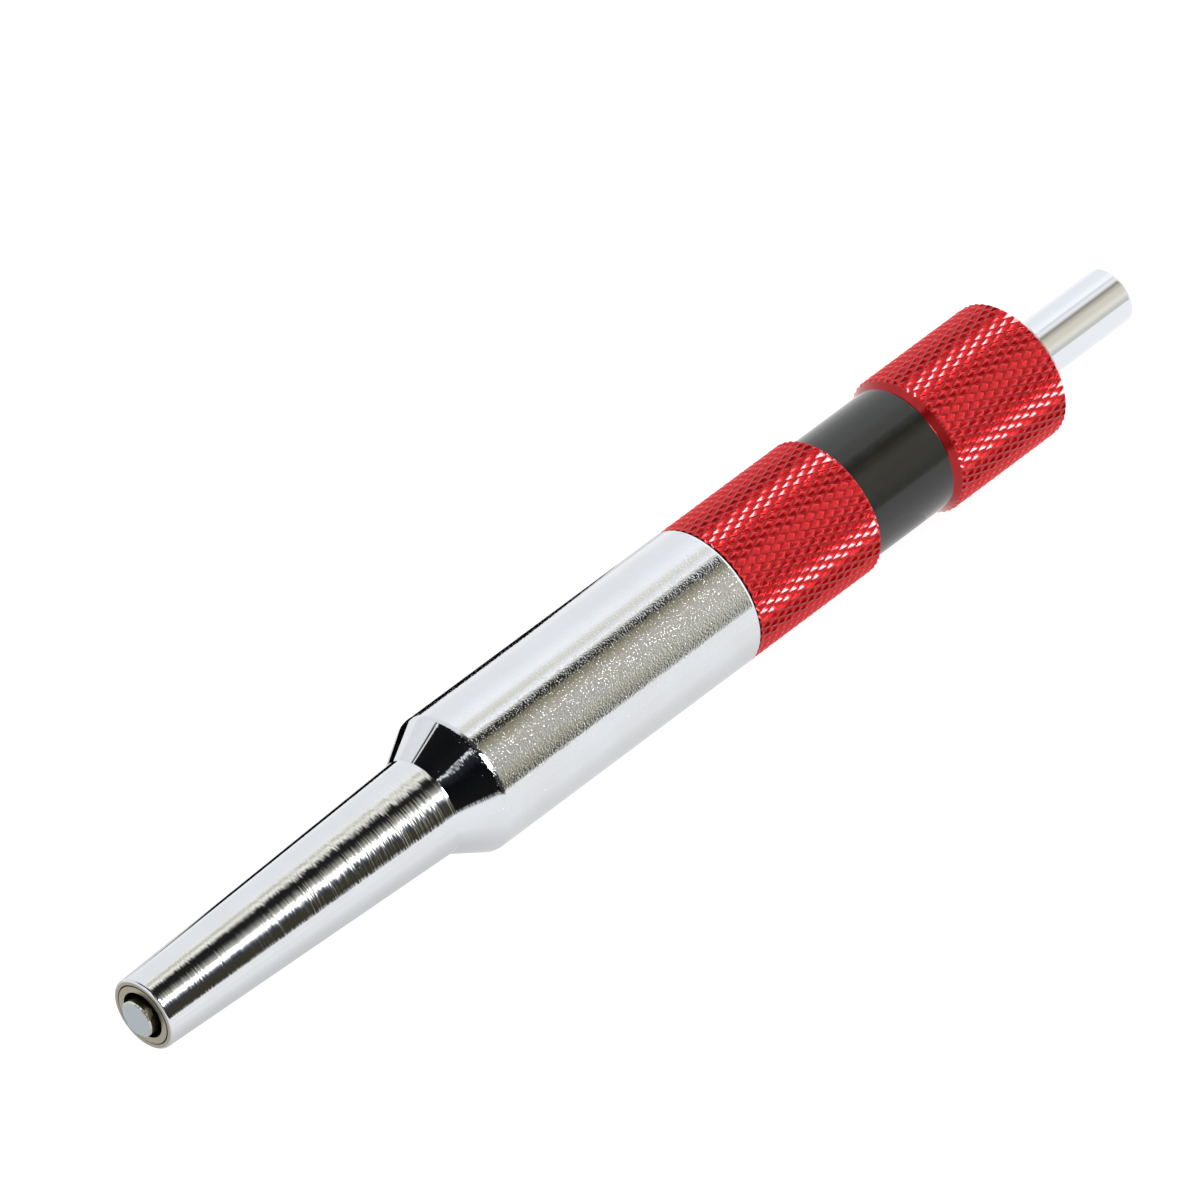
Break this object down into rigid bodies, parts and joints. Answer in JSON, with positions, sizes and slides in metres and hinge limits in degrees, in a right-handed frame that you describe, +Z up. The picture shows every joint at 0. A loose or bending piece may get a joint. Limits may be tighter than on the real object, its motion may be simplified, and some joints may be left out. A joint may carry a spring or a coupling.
{
  "type": "nail setter",
  "caption": "Hammer-struck nail setter: a tapered chrome barrel with a red knurled handle, in which a sprung striker rod slides to push a nail out of the nose.",
  "frame": {"origin": "on the surface that the tool lies on, below the middle of its length, striker at rest", "axes": "+X along the tool's axis towards the struck end of the rod, the nose points to -X, +Z up from the surface"},
  "size_m": [0.2168, 0.024, 0.024],
  "materials": {
    "chrome_plate": "polished chrome plate over fine turning lines",
    "bush_steel": "turned bare steel",
    "buffer_rubber": "moulded",
    "red_anodised": "red anodised, diamond knurl",
    "label_film": "glossy black film",
    "guide_bronze": "sintered bronze, turned",
    "plain_steel": "turned steel",
    "spring_steel": "drawn spring wire",
    "polished_rod": "polished, hard chromed",
    "zinc_pin": "bright zinc plated"
  },
  "bodies": {
    "housing": {"barrel": "chrome_plate", "nose_bush": "bush_steel", "front_buffer": "buffer_rubber", "handle": "red_anodised", "label_band": "label_film", "front_guide_bush": "guide_bronze", "rear_guide_bush": "guide_bronze", "spring_washer": "plain_steel", "return_spring": "spring_steel"},
    "striker": {"striker_rod": "polished_rod", "driver_pin": "zinc_pin", "stop_collar": "plain_steel", "cross_pin": "spring_steel"}
  },
  "joints": [
    {"name": "striker_slide", "type": "slide", "parent": "housing", "child": "striker", "axis": [1, 0, 0], "range_m": [0, 0.034], "stiffness_N_per_m": 700, "springref_m": -0.008, "deforming": ["return_spring"]}
  ]
}
